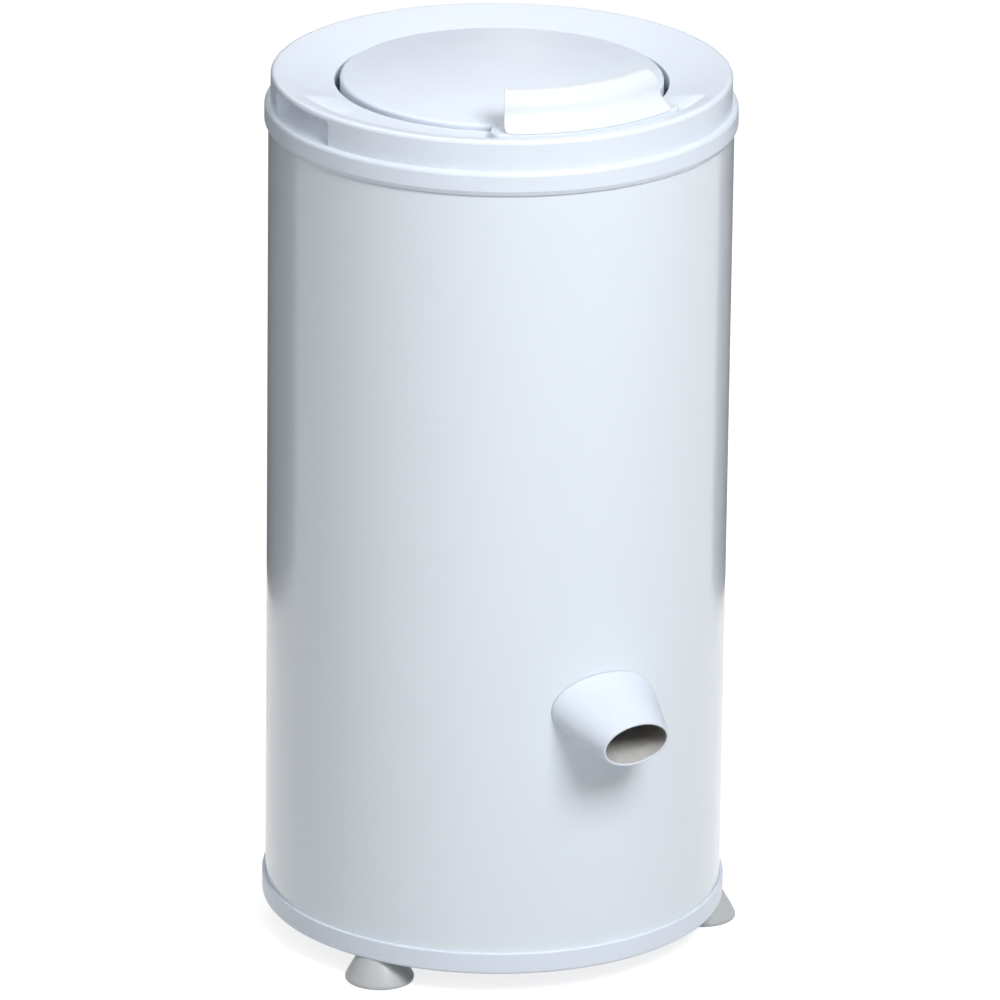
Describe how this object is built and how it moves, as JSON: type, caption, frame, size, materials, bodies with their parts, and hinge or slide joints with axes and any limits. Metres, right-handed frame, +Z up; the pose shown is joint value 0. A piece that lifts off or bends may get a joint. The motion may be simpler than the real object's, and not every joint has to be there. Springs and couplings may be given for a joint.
{
  "type": "laundry spin dryer",
  "caption": "Round white spin dryer with a perforated drum on a rubber-mounted motor, a hooded lid that turns to lock and opens at the back, and a drain spout.",
  "frame": {"origin": "on the floor, on the axis of the jacket and drum", "axes": "+Z up along the drum's axis, -Y to the front where the spout and the grip are, +X to the right as seen from the front"},
  "size_m": [0.3458, 0.4051, 0.685],
  "materials": {
    "white_enamel": "glossy white enamel on steel sheet",
    "white_plastic": "glossy white moulded plastic",
    "inner_white_plastic": "satin white moulded plastic",
    "foot_rubber": "matte light grey rubber",
    "dark_rubber": "matte black rubber",
    "drum_steel": "brushed stainless steel",
    "bright_steel": "ground steel",
    "zinc_steel": "zinc plated steel",
    "shield_alloy": "die-cast aluminium",
    "core_iron": "dark laminated iron",
    "copper_wire": "enamelled copper wire",
    "black_plastic": "matte black plastic",
    "brake_felt": "matte brown lining"
  },
  "bodies": {
    "housing": {"jacket": "white_enamel", "base_pan": "white_plastic", "foot_front_left": "foot_rubber", "foot_front_right": "foot_rubber", "foot_rear": "foot_rubber", "foot_screws": "zinc_steel", "top_ring": "white_plastic", "ring_screws": "zinc_steel", "catch_tub": "inner_white_plastic", "outlet_spout": "white_plastic", "spout_seal": "dark_rubber", "tub_boot": "dark_rubber", "carrier_plate": "zinc_steel", "rubber_mounts": "dark_rubber", "mount_bolts": "zinc_steel", "motor_lower_shield": "shield_alloy", "motor_upper_shield": "shield_alloy", "stator_core": "core_iron", "stator_windings": "copper_wire", "motor_bolts": "zinc_steel", "lower_bearing": "bright_steel", "upper_bearing": "bright_steel", "capacitor": "shield_alloy", "capacitor_clip": "black_plastic", "cord_gland": "black_plastic", "microswitch": "black_plastic", "interlock_pin": "bright_steel", "brake_pivot_pin": "bright_steel", "brake_spring": "bright_steel", "brake_cable": "black_plastic", "cable_clips": "inner_white_plastic", "hinge_bracket": "zinc_steel", "hinge_pin": "bright_steel", "hinge_screws": "zinc_steel"},
    "drum": {"drum_shell": "drum_steel", "drum_floor": "drum_steel", "drum_rim": "inner_white_plastic", "drum_shaft": "bright_steel", "hub_nut": "bright_steel", "hub_cap": "inner_white_plastic", "motor_rotor": "core_iron", "brake_drum": "core_iron", "cooling_fan": "black_plastic"},
    "inner_lid": {"inner_lid": "inner_white_plastic", "lid_seal": "dark_rubber", "lid_pivot": "bright_steel", "hinge_arms": "bright_steel", "arm_rivets": "bright_steel"},
    "lid_cover": {"lid_cover": "white_plastic", "lid_grip": "white_plastic"},
    "interlock_lever": {"interlock_lever": "zinc_steel"},
    "brake_lever": {"brake_lever": "zinc_steel", "brake_lining": "brake_felt"}
  },
  "joints": [
    {"name": "drum_spin", "type": "hinge", "parent": "housing", "child": "drum", "pos_m": [0, 0, 0.253], "axis": [0, 0, 1], "continuous": true},
    {"name": "lid_open", "type": "hinge", "parent": "housing", "child": "inner_lid", "pos_m": [0, 0.14, 0.6456], "axis": [-1, 0, 0], "range_deg": [0, 95]},
    {"name": "lid_turn", "type": "hinge", "parent": "inner_lid", "child": "lid_cover", "pos_m": [0, 0, 0.6486], "axis": [0, 0, -1], "range_deg": [0, 48]},
    {"name": "interlock_swing", "type": "hinge", "parent": "housing", "child": "interlock_lever", "pos_m": [0.07897, -0.13569, 0.6391], "axis": [0, 0, 1], "range_deg": [0, 12]},
    {"name": "brake_swing", "type": "hinge", "parent": "housing", "child": "brake_lever", "pos_m": [0.06877, 0.00049, 0.058], "axis": [0, 0, -1], "range_deg": [0, 3]}
  ],
  "couplings": [
    {"joint": "interlock_swing", "follows": "lid_turn", "ratio": 0.25},
    {"joint": "brake_swing", "follows": "lid_turn", "ratio": 0.0625}
  ]
}
